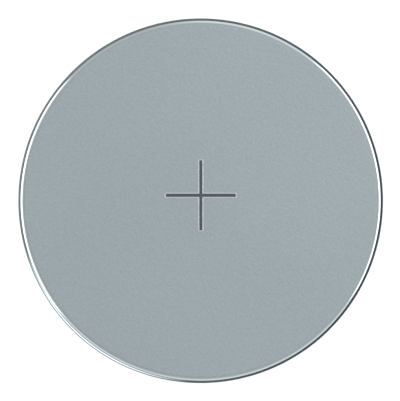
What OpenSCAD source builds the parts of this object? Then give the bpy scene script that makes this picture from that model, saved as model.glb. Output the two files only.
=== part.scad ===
// Small lithium camera cell, standing on its negative contact with the positive face up.
// Three pieces show from outside: a drawn steel can, a moulded gasket and a drawn steel cap.
// The can's mouth is crimped in over the gasket, which holds and insulates the cap.
// All pieces are turned about Z. The origin is the centre of the negative contact.

/* [Cell] */
// Outside diameter of the cell
cell_d = 11.6; // [10:0.1:14]
// Height from the negative contact to the positive face
cell_h = 10.8; // [6:0.1:20]

/* [Positive can] */
// Thickness of the can's sheet
can_sheet = 0.25; // [0.15:0.01:0.35]
// Radius of the edge round the positive face
face_edge_r = 0.24; // [0.1:0.02:0.6]
// Outside radius of the crimped shoulder
shoulder_r = 0.7; // [0.6:0.02:0.9]
// Flat run of the crimped lip past the shoulder
lip_flat = 0.06; // [0.02:0.02:0.3]
// Radius of the trimmed edge of the crimped lip
lip_edge_r = 0.03; // [0.01:0.01:0.06]

/* [Negative cap] */
// Thickness of the cap's sheet
cap_sheet = 0.25; // [0.15:0.01:0.35]
// How far the negative contact stands out past the crimped lip
contact_step = 0.3; // [0.2:0.02:0.6]
// Outside radius of the edge round the negative contact
contact_edge_r = 0.4; // [0.36:0.02:0.6]
// Inside radius of the bends between the cap's neck, shoulder and skirt
bend_r = 0.05; // [0.02:0.01:0.08]
// Length of the cap's skirt inside the can
skirt_h = 1.6; // [1:0.1:2.5]

/* [Sealing gasket] */
// Thickness of the gasket between the can and the cap
gasket_wall = 0.35; // [0.25:0.01:0.45]
// Width of the gasket's ring that shows between the lip and the cap
ring_w = 0.34; // [0.24:0.02:0.5]
// How far the gasket's ring stands out past the crimped lip
ring_proud = 0.08; // [0.02:0.02:0.16]
// Radius of the edges of the gasket's ring
ring_edge_r = 0.1; // [0.04:0.02:0.12]
// Gap between the end of the gasket's inner leg and the cap's shoulder
leg_gap = 0.45; // [0.1:0.05:0.6]

/* [Hidden] */
$fn = 96;

// Can, from the crimped lip up
can_r = cell_d / 2;
bore_r = can_r - can_sheet;
lip_z = contact_step;
lip_top_z = lip_z + can_sheet;
lip_r = can_r - shoulder_r - lip_flat;

// Cap, from the contact at its foot to the end of its skirt
neck_r = lip_r - ring_w;
shoulder_z = lip_top_z + gasket_wall;
skirt_r = bore_r - gasket_wall;
skirt_end_z = shoulder_z + skirt_h;
outer_bend_r = bend_r + cap_sheet;

// Gasket, from its ring up to the base that closes round the skirt's end
ring_z = lip_z - ring_proud;
base_top_z = skirt_end_z + gasket_wall;
leg_out_r = skirt_r - cap_sheet;
leg_in_r = leg_out_r - gasket_wall;
leg_end_z = shoulder_z + cap_sheet + leg_gap;

// Profile of a round block from the axis to radius r, with its lower and upper edges rounded
module turned_block(r, low, high, low_edge = 0, high_edge = 0) {
    translate([0, low + low_edge])
        square([r, high - low - low_edge - high_edge]);
    translate([0, low])
        square([r - low_edge, high - low - high_edge]);
    translate([0, low + low_edge])
        square([r - high_edge, high - low - low_edge]);
    if (low_edge > 0)
        translate([r - low_edge, low + low_edge]) circle(low_edge);
    if (high_edge > 0)
        translate([r - high_edge, high - high_edge]) circle(high_edge);
}

// Profile of a square ring from radius r_in to r_out
module turned_ring(r_in, r_out, low, high) {
    translate([r_in, low])
        square([r_out - r_in, high - low]);
}

// The small three-cornered profile that fills an inside corner up to an arc of radius r
// The corner is at [x, z], and the arc's centre lies at [x + r, z - r]
module cove(x, z, r) {
    translate([x, z - r])
        difference() {
            square(r);
            translate([r, 0]) circle(r);
        }
}

// Outline of the cap, filled to the axis: the contact with its neck, then the wider skirt
module cap_outline() {
    turned_block(neck_r, 0, skirt_end_z, contact_edge_r);
    turned_block(skirt_r, shoulder_z, skirt_end_z, outer_bend_r);
    cove(neck_r, shoulder_z, bend_r);
}

// Hollow of the cap: its outline moved in by one sheet thickness, open at the skirt's end
module cap_hollow() {
    neck_in_r = neck_r - cap_sheet;
    shoulder_in_z = shoulder_z + cap_sheet;
    turned_block(neck_in_r, cap_sheet, skirt_end_z, contact_edge_r - cap_sheet);
    turned_block(leg_out_r, shoulder_in_z, skirt_end_z, bend_r);
    cove(neck_in_r, shoulder_in_z, outer_bend_r);
}

module cap_section() {
    difference() {
        cap_outline();
        cap_hollow();
    }
}

// The visible ring of the gasket, with both its lower edges rounded
module ring_section() {
    turned_ring(neck_r, lip_r, ring_z + ring_edge_r, lip_top_z);
    turned_ring(neck_r + ring_edge_r, lip_r - ring_edge_r, ring_z, lip_top_z);
    translate([neck_r + ring_edge_r, ring_z + ring_edge_r]) circle(ring_edge_r);
    translate([lip_r - ring_edge_r, ring_z + ring_edge_r]) circle(ring_edge_r);
}

// The space inside the can's crimped mouth that the gasket and the cap's skirt fill
module seal_space() {
    turned_block(bore_r, lip_top_z, base_top_z, shoulder_r - can_sheet);
}

// The gasket: a ring in the can's mouth, a wall round the skirt, a base past the skirt's end
// and a leg inside it
module gasket_section() {
    difference() {
        union() {
            ring_section();
            seal_space();
        }
        cap_outline();
        turned_ring(0, leg_in_r, skirt_end_z, base_top_z);
    }
    inner_leg();
}

module inner_leg() {
    turned_ring(leg_in_r, leg_out_r, leg_end_z, skirt_end_z);
}

// What the cell holds inside the cap and the gasket, which nothing shows
module sealed_contents() {
    difference() {
        cap_hollow();
        inner_leg();
    }
    turned_ring(0, leg_in_r, skirt_end_z, base_top_z);
}

// The hole in the can's mouth, opened out where the edge of the lip is rounded
module mouth_hole() {
    turned_ring(0, lip_r, lip_z, lip_top_z);
    mirror([0, 1]) cove(lip_r, -lip_z, lip_edge_r);
}

// The can from its crimped lip to the positive face, one solid with what is sealed in it
module can_section() {
    difference() {
        turned_block(can_r, lip_z, cell_h, shoulder_r, face_edge_r);
        mouth_hole();
        seal_space();
    }
    sealed_contents();
}

module positive_can() {
    color("#9ea9ad") rotate_extrude() can_section();
}

module sealing_gasket() {
    color("#26282b") rotate_extrude() gasket_section();
}

module negative_cap() {
    color("#b3babd") rotate_extrude() cap_section();
}

positive_can();
sealing_gasket();
negative_cap();
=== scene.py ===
"""Looks of a small lithium camera cell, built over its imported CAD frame.

The cell stands on its negative contact. Its three outside pieces are turned about Z:
a drawn steel can, whose positive face carries a stamped plus sign, a gasket and a cap.
Lengths are in millimetres up to the mesh, where they become metres.
"""

import bpy
import numpy as np
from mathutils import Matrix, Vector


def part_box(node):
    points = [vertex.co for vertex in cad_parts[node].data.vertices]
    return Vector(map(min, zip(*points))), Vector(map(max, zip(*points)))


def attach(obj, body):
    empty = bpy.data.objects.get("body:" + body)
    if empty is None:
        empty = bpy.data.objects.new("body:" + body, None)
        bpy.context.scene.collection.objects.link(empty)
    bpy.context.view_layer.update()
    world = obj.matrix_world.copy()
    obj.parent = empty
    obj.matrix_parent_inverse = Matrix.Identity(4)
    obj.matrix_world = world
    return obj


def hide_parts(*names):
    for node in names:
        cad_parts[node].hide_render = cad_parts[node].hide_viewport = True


MM = 0.001

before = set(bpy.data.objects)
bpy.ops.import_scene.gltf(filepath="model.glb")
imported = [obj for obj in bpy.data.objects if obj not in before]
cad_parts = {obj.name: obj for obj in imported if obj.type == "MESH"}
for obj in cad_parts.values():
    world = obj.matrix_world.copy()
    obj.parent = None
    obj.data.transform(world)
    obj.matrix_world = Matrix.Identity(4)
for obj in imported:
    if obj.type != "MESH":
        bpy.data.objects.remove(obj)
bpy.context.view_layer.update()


def node_box(node):
    """Lowest and highest corner of a CAD node, in millimetres."""
    low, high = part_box(node)
    return np.array(low) / MM, np.array(high) / MM


can_low, can_high = node_box("positive_can")
gasket_low, gasket_high = node_box("sealing_gasket")
cap_low, cap_high = node_box("negative_cap")

# Radii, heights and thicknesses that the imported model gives
can_r = can_high[0]
face_z = can_high[2]
bore_r = gasket_high[0]
ring_z = gasket_low[2]
base_top_z = gasket_high[2]
skirt_r = cap_high[0]
skirt_end_z = cap_high[2]
cap_sheet = can_low[2] - cap_low[2]
can_sheet = can_r - bore_r
gasket_wall = bore_r - skirt_r

# Radii, steps and gaps of the sheet metal and the gasket, as in the part's source
FACE_EDGE_R = 0.24
SHOULDER_R = 0.7
LIP_FLAT = 0.06
LIP_EDGE_R = 0.03
CONTACT_STEP = 0.3
CONTACT_EDGE_R = 0.4
BEND_R = 0.05
RING_W = 0.34
RING_EDGE_R = 0.1
LEG_GAP = 0.45

# The stamped plus sign: its bars, its groove and the low bead that stamping raises round it
PLUS_LENGTH = 2.22
PLUS_STROKE = 0.09
PLUS_CENTRE = (0.005, 0.173)
GROOVE_DEPTH = 0.05
GROOVE_TAPER = 0.016
GROOVE_POWER = 1.5
BEAD_H = 0.006
BEAD_W = 0.05
TIP_BULGE = 0.02
# Depth at which the groove's painted shade reaches its full dark tone
DARK_DEPTH = GROOVE_DEPTH / 3

# The can's lip and shoulder, and the flat of its face, which lies under the bead's crest
lip_z = CONTACT_STEP
lip_top_z = lip_z + can_sheet
lip_r = can_r - SHOULDER_R - LIP_FLAT
shoulder_in_r = SHOULDER_R - can_sheet
flat_z = face_z - BEAD_H

# The cap's neck, shoulder and bends, outside and inside, and the gasket's leg in its skirt
neck_r = lip_r - RING_W
neck_in_r = neck_r - cap_sheet
shoulder_z = lip_top_z + gasket_wall
shoulder_in_z = shoulder_z + cap_sheet
outer_bend_r = BEND_R + cap_sheet
contact_in_r = CONTACT_EDGE_R - cap_sheet
leg_out_r = skirt_r - cap_sheet
leg_in_r = leg_out_r - gasket_wall
leg_end_z = shoulder_in_z + LEG_GAP

# Points round the axis, a multiple of 8 so that the plus sign's corners fall on points
AROUND = 384
EIGHTH = AROUND // 8
# Steps along a usual arc, a small one, the can's shoulder, a contact's round edge and the wall
ARC_STEPS = 14
SMALL_ARC_STEPS = 6
SHOULDER_STEPS = 24
EDGE_STEPS = 30
WALL_STEPS = 8
# Steps over half a tip of the sign, and the face's rings on its flat, over the bead and down the groove
TIP_STEPS = 8
FLAT_RINGS = 10
BEAD_RINGS = 11
GROOVE_RINGS = 10
# First and last ring on the flat, as shares of the way out from the sign to the face's circle
FLAT_SHARES = (0.99, 0.02)
# Rings on the flat of the negative contact, as shares of its radius
CONTACT_SHARES = (0.5, 0.98)
# Turn between two faces, in degrees, past which the edge between them is shaded sharp
SHARP_ANGLE = 50
# Tilts, in degrees, between which a contact's matte grain gives way to the burnished metal of its edge
BURNISH_START, BURNISH_END = 3, 25

# The photograph's frame, and the place and diameter of the cell's disc in it, in pixels
FRAME_W, FRAME_H = 400, 401
DISC_CENTRE = (200.65, 200.75)
DISC_PX = 365.25
PX_PER_MM = DISC_PX / (2 * can_r)
# The camera's distance from the face, the range that it sees and the width of its sensor
CAMERA_DISTANCE = 160.0
CLIP_NEAR, CLIP_FAR = 1.0, 10000.0
SENSOR_W = 36.0

# Sockets of a Mix node that is set to colour
MIX_FACTOR, MIX_A, MIX_B, MIX_OUT = 0, 6, 7, 2
# Values between which most of a noise texture lies, and the one half way
NOISE_LOW, NOISE_HIGH = 0.3, 0.7
NOISE_MIDDLE = 0.5
# What a direction is multiplied by to lay it level
LEVEL = (1, 1, 0)

# Radiance of the studio as the eye and dull surfaces see it, and of its parts in reflections
ROOM_LIGHT = 1.05
WALL_LIGHT = 1.16
CEILING_LOW, CEILING_HIGH = 0.46, 1.0
UNDER_LOW, UNDER_HIGH = 0.5, 1.1
PATCH_LIGHT = 2.1
# Glow of the light table through the paper, to the eye and dull surfaces and in reflections
TABLE_GLOW, REFLECTED_GLOW = 0.25, 0.5
# Sides of the studio: where the ceiling is brighter, where a wall is dim, where the dark card
# is lightest and where it has a white patch
BRIGHT_SIDE = (0.8, 0.6, 0)
DIM_SIDE = (-0.485, 0.875, 0)
PALE_SIDE = (-0.97, 0.26, 0)
WHITE_SIDE = (-0.629, -0.777, 0)
# Direction, in radians from +X, in which reflections show the paper brightest
FAN_BEARING = 0.25
# Heights of the studio's parts, as the upward share of a ray's direction
CROWN_START, CROWN_FULL = 0.84, 0.96
WALL_TOP, LOW_WALL_TOP = 0.72, 0.57
CORNICE_H = 0.17
FOOT_DARK, FOOT_TOP, HIGH_FOOT_TOP = 0.05, 0.12, 0.36
UNDER_START, UNDER_FULL = -0.02, -0.1
# How far a ray leans to the bright side where the studio is brightest
LEAN_REACH = 0.6
# Cosines of the turn away from the dim side, and from the white one, between which a part comes in
DIM_EDGE, DIM_FULL = 0.84, 1.0
LOW_WALL_EDGE, LOW_WALL_FULL = -0.56, -0.94
HIGH_FOOT_EDGE, HIGH_FOOT_FULL = 0.76, 0.93
PATCH_EDGE, PATCH_FULL = 0.82, 0.98
# The dark card: how far it lies under the face and clear of the can, its reach and its white patch's ring
CARD_DROP = 0.5
CARD_GAP = 0.04
CARD_OUT_R = 1200.0
PATCH_IN_R, PATCH_BLUR = 6.35, 0.1
PATCH_FADE_R, PATCH_OUT_R = 32.0, 40.0
# The floor: half its side, and its height, a hair over the foot of the negative contact
FLOOR_HALF = 1500.0
FLOOR_Z = 0.02


def arc(centre_r, centre_z, radius, start, end, steps=ARC_STEPS):
    """Profile points on a circle from angle start to end, in degrees, both ends included."""
    angle = np.radians(np.linspace(start, end, steps + 1))
    return np.column_stack([centre_r + radius * np.cos(angle), centre_z + radius * np.sin(angle)])


def run(*points):
    """Profile points [r, z] joined by straight runs."""
    return np.array(points, float)


def turned(profile):
    """Rings of points: each profile point [r, z] goes round the axis at AROUND equal angles."""
    angle = np.arange(AROUND) * (2 * np.pi / AROUND)
    r, z = profile[:, :1], profile[:, 1:]
    return np.stack([r * np.cos(angle), r * np.sin(angle), z + 0 * angle], axis=-1)


def ring_faces(count, closed=False):
    """Four-sided faces between neighbouring rings, and from the last ring to the first if closed."""
    index = np.arange(count * AROUND).reshape(count, AROUND)
    low = index if closed else index[:-1]
    high = np.roll(index, -1, axis=0) if closed else index[1:]
    corners = [low, np.roll(low, -1, axis=1), np.roll(high, -1, axis=1), high]
    return np.stack(corners, axis=-1).reshape(-1, 4)


def pole_faces(ring, pole, upper):
    """Three-sided faces from a ring to the pole on the axis, below the ring or above it."""
    index = ring * AROUND + np.arange(AROUND)
    after = np.roll(index, -1)
    pair = (index, after) if upper else (after, index)
    return np.stack([*pair, np.full(AROUND, pole)], axis=-1)


def make_piece(name, points, faces, material, node, slot, **point_values):
    """A smooth mesh that stands for a CAD node. Each of point_values names one value per point."""
    mesh = bpy.data.meshes.new(name)
    mesh.from_pydata((points * MM).tolist(), [], [f for group in faces for f in group.tolist()])
    for value_name, values in point_values.items():
        layer = mesh.attributes.new(value_name, "FLOAT", "POINT")
        layer.data.foreach_set("value", values.astype(np.float32))
    mesh.polygons.foreach_set("use_smooth", np.ones(len(mesh.polygons), bool))
    mesh.set_sharp_from_angle(angle=np.radians(SHARP_ANGLE))
    mesh.materials.append(material)
    mesh.validate()
    piece = bpy.data.objects.new(name, mesh)
    bpy.context.scene.collection.objects.link(piece)
    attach(piece, "root")
    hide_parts(node)


def plus_ring(offset, height):
    """Outline of the plus sign moved out by offset, at one height, as AROUND points from the tip on +X.

    An eighth of it goes over half a bulged tip and along one side of the bar to the inner corner.
    It is mirrored about the diagonal for a quarter, and the quarter is turned three times.
    """
    half_w = PLUS_STROKE / 2 + offset
    half_l = PLUS_LENGTH / 2 + offset
    tip = np.radians(np.linspace(0, 90, TIP_STEPS, endpoint=False))
    side = np.linspace(half_l - TIP_BULGE, half_w, EIGHTH - TIP_STEPS + 1)
    x = np.concatenate([half_l - TIP_BULGE * (1 - np.cos(tip)), side])
    y = np.concatenate([half_w * np.sin(tip), np.full(len(side), half_w)])
    quarter_x = np.concatenate([x, y[-2:0:-1]])
    quarter_y = np.concatenate([y, x[-2:0:-1]])
    outline = np.concatenate([
        np.column_stack([quarter_x, quarter_y]),
        np.column_stack([-quarter_y, quarter_x]),
        np.column_stack([-quarter_x, -quarter_y]),
        np.column_stack([quarter_y, -quarter_x]),
    ])
    return np.column_stack([outline + PLUS_CENTRE, np.full(AROUND, height)])


def groove_height(offset):
    """Height of the stamped surface against the flat face, at a distance from the sign's outline.

    Outside it a bead rises and falls again as a squared sine. Inside, a wall goes down to the floor
    along a power of the distance, so that it leaves the lip gently and steepens.
    """
    bead = np.where(offset > 0, BEAD_H * np.sin(np.pi * np.clip(offset / BEAD_W, 0, 1)) ** 2, 0)
    wall = GROOVE_DEPTH * np.clip(-offset / GROOVE_TAPER, 0, 1) ** GROOVE_POWER
    return bead - wall


def floor_faces(ring):
    """Faces of the sign's floor: strips across each bar between opposite points, and the crossing."""
    first = ring * AROUND
    tip = np.arange(4) * 2 * EIGHTH
    step = np.arange(1, EIGHTH)
    before, after = tip[:, None] - step, tip[:, None] + step
    tips = first + np.stack([tip - 1, tip, tip + 1], axis=-1) % AROUND
    strips = first + np.stack([before - 1, before, after, after + 1], axis=-1).reshape(-1, 4) % AROUND
    corners = first + np.array([[1, 3, 5, 7]]) * EIGHTH
    return [tips, strips, corners]


def face_rings():
    """Rings of the positive face, from its edge in to the sign's floor, with two values for each.

    The values are how far it is stamped down, which sets the groove's painted shade, and how high it
    stands on the bead, which sets its brightness from rubbing wear and a painted highlight.
    Flat rings share out the straight way from the face's circle to the sign's outermost outline,
    closer together near the sign. Then come outlines at falling distances, at the height that
    groove_height gives.
    """
    circle = turned(run((can_r - FACE_EDGE_R, flat_z)))[0]
    outer = plus_ring(BEAD_W, flat_z)
    share = np.geomspace(*FLAT_SHARES, FLAT_RINGS)[:, None, None]
    flat = share * circle + (1 - share) * outer
    bead = np.linspace(BEAD_W, 0, BEAD_RINGS)
    wall = -GROOVE_TAPER * np.linspace(1 / GROOVE_RINGS, 1, GROOVE_RINGS)
    offsets = np.concatenate([bead, wall])
    heights = groove_height(offsets)
    stamped = np.array([plus_ring(d, flat_z + h) for d, h in zip(offsets, heights)])
    none = np.zeros(len(flat))
    depth = np.concatenate([none, np.clip(-heights / DARK_DEPTH, 0, 1)])
    crest = np.concatenate([none, np.clip(heights / BEAD_H, 0, 1)])
    return np.concatenate([flat, stamped]), depth, crest


def matte_share(tilt):
    """Share of matte grain on a contact's edge at a tilt in degrees, from 1 evenly down to 0."""
    return np.clip((BURNISH_END - tilt) / (BURNISH_END - BURNISH_START), 0, 1)


def make_can(material):
    """The can with its sealed contents: a turned outside that ends in the stamped positive face.

    The profile starts on the axis at the foot of the contents, goes round the space that the seal fills,
    over the crimped lip and shoulder, up the wall and over the edge of the face.
    """
    inside = np.concatenate([
        arc(neck_in_r - contact_in_r, cap_sheet + contact_in_r, contact_in_r, -90, 0),
        arc(neck_in_r + outer_bend_r, shoulder_in_z - outer_bend_r, outer_bend_r, 180, 90),
        arc(leg_out_r - BEND_R, shoulder_in_z + BEND_R, BEND_R, -90, 0),
        run((leg_out_r, leg_end_z), (leg_in_r, leg_end_z), (leg_in_r, base_top_z), (bore_r, base_top_z)),
        arc(bore_r - shoulder_in_r, lip_top_z + shoulder_in_r, shoulder_in_r, 0, -90),
    ])
    wall_z = np.linspace(lip_z + SHOULDER_R, flat_z - FACE_EDGE_R, WALL_STEPS + 1)[1:-1]
    outside = np.concatenate([
        run((lip_r, lip_top_z)),
        arc(lip_r + LIP_EDGE_R, lip_z + LIP_EDGE_R, LIP_EDGE_R, 180, 270, SMALL_ARC_STEPS),
        arc(can_r - SHOULDER_R, lip_z + SHOULDER_R, SHOULDER_R, -90, 0, SHOULDER_STEPS),
        run(*[(can_r, z) for z in wall_z]),
        arc(can_r - FACE_EDGE_R, flat_z - FACE_EDGE_R, FACE_EDGE_R, 0, 90, EDGE_STEPS),
    ])
    body = turned(np.concatenate([inside, outside]))
    face, depth, crest = face_rings()
    rings = np.concatenate([body, face])
    tilt = np.linspace(90, 0, EDGE_STEPS + 1)
    matte = np.concatenate([np.zeros(len(body) - len(tilt)), matte_share(tilt), np.ones(len(face))])
    # Per ring: the groove's painted shade, and the bead's rubbing wear and painted highlight
    stamped = np.concatenate([np.zeros(len(body)), depth])
    rubbed_and_highlit = np.concatenate([np.zeros(len(body)), crest])
    points = np.concatenate([rings.reshape(-1, 3), [[0, 0, cap_sheet]]])
    pole = len(points) - 1
    faces = [ring_faces(len(rings)), pole_faces(0, pole, False), *floor_faces(len(rings) - 1)]
    values = {
        name: np.append(np.repeat(value, AROUND), 0)
        for name, value in (("matte", matte), ("stamped", stamped), ("rubbed_and_highlit", rubbed_and_highlit))}
    make_piece("can_shell", points, faces, material, "positive_can", "can_nickel", **values)


def make_gasket(material):
    """The gasket, a closed profile turned about Z: ring, wall round the skirt, base and inner leg."""
    profile = np.concatenate([
        arc(neck_r + RING_EDGE_R, ring_z + RING_EDGE_R, RING_EDGE_R, 180, 270),
        arc(lip_r - RING_EDGE_R, ring_z + RING_EDGE_R, RING_EDGE_R, -90, 0),
        run((lip_r, lip_top_z)),
        arc(bore_r - shoulder_in_r, lip_top_z + shoulder_in_r, shoulder_in_r, -90, 0),
        run((bore_r, base_top_z), (leg_in_r, base_top_z), (leg_in_r, leg_end_z), (leg_out_r, leg_end_z),
            (leg_out_r, skirt_end_z), (skirt_r, skirt_end_z)),
        arc(skirt_r - outer_bend_r, shoulder_z + outer_bend_r, outer_bend_r, 0, -90),
        arc(neck_r + BEND_R, shoulder_z - BEND_R, BEND_R, 90, 180, SMALL_ARC_STEPS),
    ])
    points = turned(profile).reshape(-1, 3)
    faces = [ring_faces(len(profile), closed=True)]
    make_piece("gasket_ring", points, faces, material, "sealing_gasket", "gasket_plastic")


def make_cap(material):
    """The cap, one turned sheet: contact, neck, shoulder and skirt outside, then back inside."""
    flat_r = neck_r - CONTACT_EDGE_R
    flat = run(*[(flat_r * share, 0) for share in CONTACT_SHARES])
    profile = np.concatenate([
        flat,
        arc(flat_r, CONTACT_EDGE_R, CONTACT_EDGE_R, -90, 0, EDGE_STEPS),
        arc(neck_r + BEND_R, shoulder_z - BEND_R, BEND_R, 180, 90, SMALL_ARC_STEPS),
        arc(skirt_r - outer_bend_r, shoulder_z + outer_bend_r, outer_bend_r, -90, 0),
        run((skirt_r, skirt_end_z), (leg_out_r, skirt_end_z)),
        arc(leg_out_r - BEND_R, shoulder_in_z + BEND_R, BEND_R, 0, -90, SMALL_ARC_STEPS),
        arc(neck_in_r + outer_bend_r, shoulder_in_z - outer_bend_r, outer_bend_r, 90, 180),
        arc(neck_in_r - contact_in_r, cap_sheet + contact_in_r, contact_in_r, 0, -90),
    ])
    points = np.concatenate([turned(profile).reshape(-1, 3), [[0, 0, 0], [0, 0, cap_sheet]]])
    foot, top = len(points) - 2, len(points) - 1
    last = len(profile) - 1
    faces = [ring_faces(len(profile)), pole_faces(0, foot, False), pole_faces(last, top, True)]
    matte = np.zeros(len(profile))
    matte[:len(flat)] = 1
    matte[len(flat):len(flat) + EDGE_STEPS + 1] = matte_share(np.linspace(0, 90, EDGE_STEPS + 1))
    values = np.concatenate([np.repeat(matte, AROUND), [1, 0]])
    make_piece("cap_shell", points, faces, material, "negative_cap", "cap_nickel", matte=values)


def colour(hex_code):
    """A linear RGBA colour from an sRGB hex value.

    A channel c becomes c / 12.92 near black, and ((c + 0.055) / 1.055) ** 2.4 elsewhere.
    """
    c = np.array([int(hex_code[i:i + 2], 16) for i in (1, 3, 5)]) / 255
    linear = np.where(c <= 0.04045, c / 12.92, ((c + 0.055) / 1.055) ** 2.4)
    return (*linear.tolist(), 1.0)


def neutral(radiance):
    """A linear RGBA colour with no hue."""
    return (radiance, radiance, radiance, 1.0)


def new_material(name):
    """A node material with a Principled shader on its output, with its tree and that shader."""
    material = bpy.data.materials.new(name)
    material.use_nodes = True
    tree = material.node_tree
    shader = tree.nodes["Principled BSDF"]
    return material, tree, shader


def add_node(tree, kind, inputs=None, **settings):
    """Adds a node with its settings. Inputs maps a socket to a value, or to the output that feeds it."""
    node = tree.nodes.new(kind)
    for name, value in settings.items():
        setattr(node, name, value)
    for socket, source in (inputs or {}).items():
        if isinstance(source, bpy.types.NodeSocket):
            tree.links.new(source, node.inputs[socket])
        else:
            node.inputs[socket].default_value = source
    return node


def per_metre(size_mm):
    """Scale of a noise texture on Object coordinates whose features are size_mm across."""
    return 1 / (size_mm * MM)


def nickel_plated_can():
    """Deep-drawn steel, nickel plated: matte face, burnished edge and satin wall with draw lines."""
    grain_mm, relief_depth = 0.07, 0.0135
    line_mm, line_stretch = 0.07, 50
    cloud_mm = 16
    satin_low, satin_high = 0.3, 0.38
    burnished_rough, matte_rough = 0.08, 0.42
    # A turn, in radians, that leaves the grain with no direction on the face, and a shift,
    # in millimetres, that brings the lightest of the clouds to the right of it, a painted lean of light
    grain_turn = (0.7, 0.4, 0.3)
    cloud_shift = (1, 21, 15)
    # Share of the grain in the face's tone, beside the clouds
    grain_share = 0.47
    # How matte the face's edge still is where its grain has gone, and where its grey begins to brighten
    grain_gone, grey_fades = 0.45, 0.5

    material, tree, shader = new_material("nickel_plated_drawn_steel")
    place = add_node(tree, "ShaderNodeTexCoord").outputs["Object"]
    height = add_node(tree, "ShaderNodeSeparateXYZ", {"Vector": place}).outputs["Z"]
    matte = add_node(tree, "ShaderNodeAttribute", attribute_name="matte").outputs["Fac"]
    stamped = add_node(tree, "ShaderNodeAttribute", attribute_name="stamped").outputs["Fac"]
    rubbed_and_highlit = add_node(tree, "ShaderNodeAttribute", attribute_name="rubbed_and_highlit").outputs["Fac"]
    # From the face out over its edge, the die has smoothed the grain first and then brightened the grey
    blasted = add_node(tree, "ShaderNodeMapRange", {
        "Value": matte, "From Min": grain_gone}).outputs["Result"]
    greyed = add_node(tree, "ShaderNodeMapRange", {
        "Value": matte, "From Max": grey_fades}).outputs["Result"]

    # Blasted grain on the face, under a tenth of a millimetre across
    turned_place = add_node(tree, "ShaderNodeMapping", {
        "Vector": place, "Rotation": grain_turn}).outputs["Vector"]
    grain = add_node(tree, "ShaderNodeTexNoise", {
        "Vector": turned_place, "Scale": per_metre(grain_mm), "Detail": 1.0}).outputs["Fac"]
    # Draw lines along the wall, as far apart as they need to be to show, and fifty times as long
    stretched = add_node(tree, "ShaderNodeMapping", {
        "Vector": place, "Scale": (1, 1, 1 / line_stretch)}).outputs["Vector"]
    lines = add_node(tree, "ShaderNodeTexNoise", {
        "Vector": stretched, "Scale": per_metre(line_mm), "Detail": 3.0}).outputs["Fac"]
    # Cloudy plating tone, from over a centimetre down to two millimetres across, which on the face
    # also paints light leaning to one side
    cloud_place = add_node(tree, "ShaderNodeMapping", {
        "Vector": turned_place, "Location": [step * MM for step in cloud_shift]}).outputs["Vector"]
    cloud = add_node(tree, "ShaderNodeTexNoise", {
        "Vector": cloud_place, "Scale": per_metre(cloud_mm), "Detail": 3.0, "Roughness": 0.6,
    }).outputs["Fac"]

    # Light nickel on the wall and greyer on the face, lighter on the bead, worn bright by rubbing
    # and with a painted highlight, and dark in the sign's groove as painted shade
    wall_tone = add_node(tree, "ShaderNodeMix", {
        MIX_FACTOR: cloud, MIX_A: colour("#bdc7ca"), MIX_B: colour("#c8d1d4"),
    }, data_type="RGBA").outputs[MIX_OUT]
    speck = add_node(tree, "ShaderNodeMix", {
        "Factor": grain_share, "A": cloud, "B": grain}).outputs["Result"]
    face_tone = add_node(tree, "ShaderNodeMix", {
        MIX_FACTOR: speck, MIX_A: colour("#9ea9ae"), MIX_B: colour("#c2ced2"),
    }, data_type="RGBA").outputs[MIX_OUT]
    plating = add_node(tree, "ShaderNodeMix", {
        MIX_FACTOR: greyed, MIX_A: wall_tone, MIX_B: face_tone}, data_type="RGBA").outputs[MIX_OUT]
    # The bead's crest is lighter: wear from rubbing, and a painted highlight on the sign's lips
    lipped = add_node(tree, "ShaderNodeMix", {
        MIX_FACTOR: rubbed_and_highlit, MIX_A: plating, MIX_B: colour("#ccd4d9")}, data_type="RGBA").outputs[MIX_OUT]
    # The sign's groove is painted dark: painted shade in the recess
    tone = add_node(tree, "ShaderNodeMix", {
        MIX_FACTOR: stamped, MIX_A: lipped, MIX_B: colour("#6c6f75")}, data_type="RGBA").outputs[MIX_OUT]
    tree.links.new(tone, shader.inputs["Base Color"])

    # The wall is satin, its top edge is burnished by the die, and the face is matte
    edge = add_node(tree, "ShaderNodeMapRange", {
        "Value": height, "From Min": (face_z - 2 * FACE_EDGE_R) * MM,
        "From Max": (face_z - FACE_EDGE_R) * MM}).outputs["Result"]
    satin = add_node(tree, "ShaderNodeMapRange", {
        "Value": lines, "From Min": NOISE_LOW, "From Max": NOISE_HIGH,
        "To Min": satin_low, "To Max": satin_high}).outputs["Result"]
    bright = add_node(tree, "ShaderNodeMix", {
        "Factor": edge, "A": satin, "B": burnished_rough}).outputs["Result"]
    rough = add_node(tree, "ShaderNodeMix", {
        "Factor": blasted, "A": bright, "B": matte_rough}).outputs["Result"]
    tree.links.new(rough, shader.inputs["Roughness"])

    wall_relief = add_node(tree, "ShaderNodeMix", {
        "Factor": edge, "A": lines, "B": NOISE_MIDDLE}).outputs["Result"]
    relief = add_node(tree, "ShaderNodeMix", {
        "Factor": blasted, "A": wall_relief, "B": grain}).outputs["Result"]
    bump = add_node(tree, "ShaderNodeBump", {"Height": relief, "Distance": relief_depth * MM})
    tree.links.new(bump.outputs["Normal"], shader.inputs["Normal"])
    shader.inputs["Metallic"].default_value = 1.0
    return material


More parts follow.
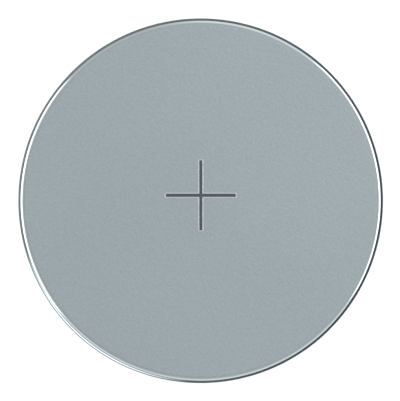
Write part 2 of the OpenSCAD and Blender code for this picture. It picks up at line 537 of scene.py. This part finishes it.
def nickel_plated_cap():
    """Stamped steel, nickel plated: matte contact with lines of the rolled sheet, and burnished edge."""
    grain_mm, relief_depth = 0.085, 0.006
    line_mm, line_stretch, line_turn = 0.05, 62.5, 0.6
    cloud_mm = 2.5
    satin_low, satin_high = 0.28, 0.4
    burnished_rough = 0.14
    # Share of the lines in the marks, beside the grain, and of the marks in the tone, beside the clouds
    line_share, mark_share = 0.5, 0.6

    material, tree, shader = new_material("nickel_plated_stamped_steel")
    place = add_node(tree, "ShaderNodeTexCoord").outputs["Object"]
    matte = add_node(tree, "ShaderNodeAttribute", attribute_name="matte").outputs["Fac"]

    # Fine grain, a little under a tenth of a millimetre across, and cloudy plating
    grain = add_node(tree, "ShaderNodeTexNoise", {
        "Vector": place, "Scale": per_metre(grain_mm), "Detail": 1.0}).outputs["Fac"]
    cloud = add_node(tree, "ShaderNodeTexNoise", {
        "Vector": place, "Scale": per_metre(cloud_mm), "Detail": 2.0}).outputs["Fac"]
    # Lines of the rolled sheet, as far apart as they need to be to show, and some sixty times as long
    rolled = add_node(tree, "ShaderNodeMapping", {
        "Vector": place, "Rotation": (0, 0, line_turn), "Scale": (1, 1 / line_stretch, 1),
    }).outputs["Vector"]
    lines = add_node(tree, "ShaderNodeTexNoise", {
        "Vector": rolled, "Scale": per_metre(line_mm), "Detail": 2.0}).outputs["Fac"]

    marks = add_node(tree, "ShaderNodeMix", {
        "Factor": line_share, "A": grain, "B": lines}).outputs["Result"]
    speck = add_node(tree, "ShaderNodeMix", {
        "Factor": mark_share, "A": cloud, "B": marks}).outputs["Result"]
    contact_tone = add_node(tree, "ShaderNodeMix", {
        MIX_FACTOR: speck, MIX_A: colour("#9faab0"), MIX_B: colour("#d0dbdf"),
    }, data_type="RGBA").outputs[MIX_OUT]
    tone = add_node(tree, "ShaderNodeMix", {
        MIX_FACTOR: matte, MIX_A: colour("#c3ccd0"), MIX_B: contact_tone,
    }, data_type="RGBA").outputs[MIX_OUT]
    satin = add_node(tree, "ShaderNodeMapRange", {
        "Value": marks, "From Min": NOISE_LOW, "From Max": NOISE_HIGH,
        "To Min": satin_low, "To Max": satin_high}).outputs["Result"]
    rough = add_node(tree, "ShaderNodeMix", {
        "Factor": matte, "A": burnished_rough, "B": satin}).outputs["Result"]
    relief = add_node(tree, "ShaderNodeMix", {
        "Factor": matte, "A": NOISE_MIDDLE, "B": marks}).outputs["Result"]
    bump = add_node(tree, "ShaderNodeBump", {"Height": relief, "Distance": relief_depth * MM})
    tree.links.new(tone, shader.inputs["Base Color"])
    tree.links.new(rough, shader.inputs["Roughness"])
    tree.links.new(bump.outputs["Normal"], shader.inputs["Normal"])
    shader.inputs["Metallic"].default_value = 1.0
    return material


def black_polypropylene():
    """Moulded polypropylene, dyed black: satin, with the faint mottle of the mould."""
    mottle_mm, relief_depth = 0.15, 0.004
    satin_low, satin_high = 0.42, 0.55

    material, tree, shader = new_material("black_moulded_polypropylene")
    place = add_node(tree, "ShaderNodeTexCoord").outputs["Object"]
    mottle = add_node(tree, "ShaderNodeTexNoise", {
        "Vector": place, "Scale": per_metre(mottle_mm), "Detail": 3.0}).outputs["Fac"]
    tone = add_node(tree, "ShaderNodeMix", {
        MIX_FACTOR: mottle, MIX_A: colour("#191a1c"), MIX_B: colour("#26272a"),
    }, data_type="RGBA").outputs[MIX_OUT]
    rough = add_node(tree, "ShaderNodeMapRange", {
        "Value": mottle, "From Min": NOISE_LOW, "From Max": NOISE_HIGH,
        "To Min": satin_low, "To Max": satin_high}).outputs["Result"]
    bump = add_node(tree, "ShaderNodeBump", {"Height": mottle, "Distance": relief_depth * MM})
    tree.links.new(tone, shader.inputs["Base Color"])
    tree.links.new(rough, shader.inputs["Roughness"])
    tree.links.new(bump.outputs["Normal"], shader.inputs["Normal"])
    shader.inputs["IOR"].default_value = 1.49
    return material


def white_paper():
    """White paper on a light table. Reflections show it brighter on two opposite sides.

    That goes by the cosine of twice the direction from the cell. The paper can't be seen from below,
    so that the cell's underside can.
    """
    material, tree, _ = new_material("white_studio_paper")
    reflected = add_node(tree, "ShaderNodeLightPath").outputs["Is Glossy Ray"]
    below = add_node(tree, "ShaderNodeNewGeometry").outputs["Backfacing"]
    place = add_node(tree, "ShaderNodeTexCoord").outputs["Object"]
    axes = add_node(tree, "ShaderNodeSeparateXYZ", {"Vector": place}).outputs
    bearing = add_node(tree, "ShaderNodeMath", {
        0: axes["Y"], 1: axes["X"]}, operation="ARCTAN2").outputs["Value"]
    double = add_node(tree, "ShaderNodeMath", {
        0: bearing, 1: 2.0, 2: -2 * FAN_BEARING}, operation="MULTIPLY_ADD").outputs["Value"]
    wave = add_node(tree, "ShaderNodeMath", {0: double}, operation="COSINE").outputs["Value"]
    fan = add_node(tree, "ShaderNodeMapRange", {"Value": wave, "From Min": -1.0}).outputs["Result"]
    fanned = add_node(tree, "ShaderNodeMix", {
        MIX_FACTOR: fan, MIX_A: colour("#6e7072"), MIX_B: colour("#d0d2d3"),
    }, data_type="RGBA").outputs[MIX_OUT]
    tone = add_node(tree, "ShaderNodeMix", {
        MIX_FACTOR: reflected, MIX_A: colour("#f4f4f4"), MIX_B: fanned,
    }, data_type="RGBA").outputs[MIX_OUT]
    strength = add_node(tree, "ShaderNodeMapRange", {
        "Value": reflected, "To Min": TABLE_GLOW, "To Max": REFLECTED_GLOW}).outputs["Result"]
    paper = add_node(tree, "ShaderNodeBsdfDiffuse", {"Color": tone}).outputs["BSDF"]
    glow = add_node(tree, "ShaderNodeEmission", {
        "Color": tone, "Strength": strength}).outputs["Emission"]
    lit = add_node(tree, "ShaderNodeAddShader", {0: paper, 1: glow}).outputs["Shader"]
    clear = add_node(tree, "ShaderNodeBsdfTransparent").outputs["BSDF"]
    shown = add_node(tree, "ShaderNodeMixShader", {"Fac": below, 1: lit, 2: clear}).outputs["Shader"]
    tree.links.new(shown, tree.nodes["Material Output"].inputs["Surface"])
    return material


def black_card():
    """Black card with a white patch, which gives out its own tones as light. It is clear from below.

    It lightens from one side to the other by the cosine of the direction from the cell,
    and the patch is a sector of a ring.
    """
    material, tree, _ = new_material("black_studio_card")
    below = add_node(tree, "ShaderNodeNewGeometry").outputs["Backfacing"]
    place = add_node(tree, "ShaderNodeTexCoord").outputs["Object"]
    flat = add_node(tree, "ShaderNodeVectorMath", {
        0: place, 1: LEVEL}, operation="MULTIPLY").outputs["Vector"]
    outward = add_node(tree, "ShaderNodeVectorMath", {0: flat}, operation="NORMALIZE").outputs["Vector"]
    away = add_node(tree, "ShaderNodeVectorMath", {0: flat}, operation="LENGTH").outputs["Value"]
    pale = add_node(tree, "ShaderNodeVectorMath", {
        0: outward, 1: PALE_SIDE}, operation="DOT_PRODUCT").outputs["Value"]
    slope = add_node(tree, "ShaderNodeMapRange", {"Value": pale, "From Min": -1.0}).outputs["Result"]
    card = add_node(tree, "ShaderNodeMix", {
        MIX_FACTOR: slope, MIX_A: colour("#55585c"), MIX_B: colour("#969b9f"),
    }, data_type="RGBA").outputs[MIX_OUT]
    white = add_node(tree, "ShaderNodeVectorMath", {
        0: outward, 1: WHITE_SIDE}, operation="DOT_PRODUCT").outputs["Value"]
    sector = add_node(tree, "ShaderNodeMapRange", {
        "Value": white, "From Min": PATCH_EDGE, "From Max": PATCH_FULL}).outputs["Result"]
    inner = add_node(tree, "ShaderNodeMapRange", {
        "Value": away, "From Min": (PATCH_IN_R - PATCH_BLUR) * MM,
        "From Max": (PATCH_IN_R + PATCH_BLUR) * MM, "To Max": sector}).outputs["Result"]
    patch = add_node(tree, "ShaderNodeMapRange", {
        "Value": away, "From Min": PATCH_FADE_R * MM, "From Max": PATCH_OUT_R * MM,
        "To Min": inner, "To Max": 0.0}).outputs["Result"]
    tone = add_node(tree, "ShaderNodeMix", {
        MIX_FACTOR: patch, MIX_A: card, MIX_B: neutral(PATCH_LIGHT)}, data_type="RGBA").outputs[MIX_OUT]
    glow = add_node(tree, "ShaderNodeEmission", {"Color": tone}).outputs["Emission"]
    clear = add_node(tree, "ShaderNodeBsdfTransparent").outputs["BSDF"]
    shown = add_node(tree, "ShaderNodeMixShader", {"Fac": below, 1: glow, 2: clear}).outputs["Shader"]
    tree.links.new(shown, tree.nodes["Material Output"].inputs["Surface"])
    return material


def make_stage(name, points, faces, material):
    """A mesh that belongs to the studio and not to the cell."""
    mesh = bpy.data.meshes.new(name)
    mesh.from_pydata((points * MM).tolist(), [], faces.tolist())
    mesh.materials.append(material)
    stage = bpy.data.objects.new(name, mesh)
    bpy.context.scene.collection.objects.link(stage)
    return stage


def make_floor():
    """A square sheet at the foot of the negative contact, wide enough for every view.

    The contact goes a hair through it, so that light from below reaches the contact in views from below.
    """
    corners = FLOOR_HALF * np.array([(-1, -1), (1, -1), (1, 1), (-1, 1)])
    points = np.column_stack([corners, np.full(4, FLOOR_Z)])
    make_stage("floor", points, np.array([[0, 1, 2, 3]]), white_paper())


def make_card():
    """A flat ring round the cell, just under its face, that only reflections show.

    It draws a dark line along the face's edge.
    """
    card_z = face_z - CARD_DROP
    rings = turned(run((CARD_OUT_R, card_z), (can_r + CARD_GAP, card_z)))
    card = make_stage("dark_card", rings.reshape(-1, 3), ring_faces(len(rings)), black_card())
    card.visible_camera = False
    card.visible_diffuse = False
    card.visible_transmission = False
    card.visible_shadow = False


def reflected_studio(tree):
    """Colour of the studio in reflections, by the height and the side that a ray goes to.

    From the top down it is a grey ceiling, light walls and a dark foot, with an underside for views from
    below. The ceiling brightens towards one side near its crown, and the underside does throughout.
    One wall is as dim as the ceiling, and the opposite one is low. The foot is high on the side where
    the card has its white patch.
    """
    ray = add_node(tree, "ShaderNodeTexCoord").outputs["Generated"]
    height = add_node(tree, "ShaderNodeSeparateXYZ", {"Vector": ray}).outputs["Z"]
    flat = add_node(tree, "ShaderNodeVectorMath", {
        0: ray, 1: LEVEL}, operation="MULTIPLY").outputs["Vector"]
    outward = add_node(tree, "ShaderNodeVectorMath", {0: flat}, operation="NORMALIZE").outputs["Vector"]
    lean = add_node(tree, "ShaderNodeVectorMath", {
        0: ray, 1: BRIGHT_SIDE}, operation="DOT_PRODUCT").outputs["Value"]
    dim = add_node(tree, "ShaderNodeVectorMath", {
        0: outward, 1: DIM_SIDE}, operation="DOT_PRODUCT").outputs["Value"]
    white = add_node(tree, "ShaderNodeVectorMath", {
        0: outward, 1: WHITE_SIDE}, operation="DOT_PRODUCT").outputs["Value"]

    # The ceiling
    crown = add_node(tree, "ShaderNodeMapRange", {
        "Value": height, "From Min": CROWN_START, "From Max": CROWN_FULL,
    }, interpolation_type="SMOOTHSTEP").outputs["Result"]
    crown_lean = add_node(tree, "ShaderNodeMath", {
        0: lean, 1: crown}, operation="MULTIPLY").outputs["Value"]
    leaning = add_node(tree, "ShaderNodeMapRange", {
        "Value": crown_lean, "From Min": -LEAN_REACH, "From Max": LEAN_REACH}).outputs["Result"]
    overhead = add_node(tree, "ShaderNodeMix", {
        MIX_FACTOR: leaning, MIX_A: neutral(CEILING_LOW), MIX_B: neutral(CEILING_HIGH),
    }, data_type="RGBA").outputs[MIX_OUT]

    # The walls, and the cornice where they pass into the ceiling
    dimmed = add_node(tree, "ShaderNodeMapRange", {
        "Value": dim, "From Min": DIM_EDGE, "From Max": DIM_FULL,
    }, interpolation_type="SMOOTHSTEP").outputs["Result"]
    walls = add_node(tree, "ShaderNodeMix", {
        MIX_FACTOR: dimmed, MIX_A: neutral(WALL_LIGHT), MIX_B: overhead,
    }, data_type="RGBA").outputs[MIX_OUT]
    wall_top = add_node(tree, "ShaderNodeMapRange", {
        "Value": dim, "From Min": LOW_WALL_FULL, "From Max": LOW_WALL_EDGE,
        "To Min": LOW_WALL_TOP, "To Max": WALL_TOP}).outputs["Result"]
    cornice = add_node(tree, "ShaderNodeMath", {
        0: wall_top, 1: CORNICE_H}, operation="SUBTRACT").outputs["Value"]
    above = add_node(tree, "ShaderNodeMapRange", {
        "Value": height, "From Min": cornice, "From Max": wall_top,
    }, interpolation_type="SMOOTHSTEP").outputs["Result"]
    room = add_node(tree, "ShaderNodeMix", {
        MIX_FACTOR: above, MIX_A: walls, MIX_B: overhead}, data_type="RGBA").outputs[MIX_OUT]

    # The foot
    foot_top = add_node(tree, "ShaderNodeMapRange", {
        "Value": white, "From Min": HIGH_FOOT_EDGE, "From Max": HIGH_FOOT_FULL,
        "To Min": FOOT_TOP, "To Max": HIGH_FOOT_TOP}).outputs["Result"]
    raised = add_node(tree, "ShaderNodeMapRange", {
        "Value": height, "From Min": FOOT_DARK, "From Max": foot_top}).outputs["Result"]
    footed = add_node(tree, "ShaderNodeMix", {
        MIX_FACTOR: raised, MIX_A: colour("#6a6c6f"), MIX_B: room}, data_type="RGBA").outputs[MIX_OUT]

    # The underside
    under_lean = add_node(tree, "ShaderNodeMapRange", {
        "Value": lean, "From Min": -LEAN_REACH, "From Max": LEAN_REACH}).outputs["Result"]
    under = add_node(tree, "ShaderNodeMix", {
        MIX_FACTOR: under_lean, MIX_A: neutral(UNDER_LOW), MIX_B: neutral(UNDER_HIGH),
    }, data_type="RGBA").outputs[MIX_OUT]
    sunk = add_node(tree, "ShaderNodeMapRange", {
        "Value": height, "From Min": UNDER_START, "From Max": UNDER_FULL}).outputs["Result"]
    return add_node(tree, "ShaderNodeMix", {
        MIX_FACTOR: sunk, MIX_A: footed, MIX_B: under}, data_type="RGBA").outputs[MIX_OUT]


def make_world():
    """A white studio, even all round to the eye and dull surfaces, with its parts in reflections."""
    world = bpy.data.worlds.new("studio")
    bpy.context.scene.world = world
    world.use_nodes = True
    tree = world.node_tree
    reflected = add_node(tree, "ShaderNodeLightPath").outputs["Is Glossy Ray"]
    tone = add_node(tree, "ShaderNodeMix", {
        MIX_FACTOR: reflected, MIX_A: neutral(ROOM_LIGHT), MIX_B: reflected_studio(tree),
    }, data_type="RGBA").outputs[MIX_OUT]
    tree.links.new(tone, tree.nodes["Background"].inputs["Color"])


def make_softbox(name, azimuth, elevation, distance, width, tall, watts):
    """An area light that faces the cell from a direction in degrees, azimuth from +X towards +Y."""
    a, e = np.radians([azimuth, elevation])
    light = bpy.data.lights.new(name, "AREA")
    light.shape = "RECTANGLE"
    light.size, light.size_y = width * MM, tall * MM
    light.energy = watts
    lamp = bpy.data.objects.new(name, light)
    lamp.location = np.array([np.cos(a) * np.cos(e), np.sin(a) * np.cos(e), np.sin(e)]) * distance * MM
    lamp.rotation_euler = (np.pi / 2 - e, 0, a + np.pi / 2)
    bpy.context.scene.collection.objects.link(lamp)


def make_camera():
    """Looks straight down on the positive face, +Y up in the picture, framed as in the photograph."""
    lens = bpy.data.cameras.new("camera")
    lens.sensor_fit = "HORIZONTAL"
    lens.sensor_width = SENSOR_W
    lens.lens = SENSOR_W * CAMERA_DISTANCE * PX_PER_MM / FRAME_W
    lens.clip_start, lens.clip_end = CLIP_NEAR * MM, CLIP_FAR * MM
    camera = bpy.data.objects.new("camera", lens)
    offset_x = (FRAME_W / 2 - DISC_CENTRE[0]) / PX_PER_MM
    offset_y = (DISC_CENTRE[1] - FRAME_H / 2) / PX_PER_MM
    camera.location = np.array([offset_x, offset_y, face_z + CAMERA_DISTANCE]) * MM
    bpy.context.scene.collection.objects.link(camera)
    bpy.context.scene.camera = camera


# The cell
make_can(nickel_plated_can())
make_gasket(black_polypropylene())
make_cap(nickel_plated_cap())

# The studio round it
make_floor()
make_card()
make_world()
make_softbox("right_softbox", azimuth=9, elevation=23.2, distance=300, width=470, tall=124, watts=0.285)
make_softbox("left_softbox", azimuth=178.5, elevation=21, distance=300, width=460, tall=150, watts=0.357)
make_camera()
bpy.context.scene.view_settings.view_transform = "Standard"
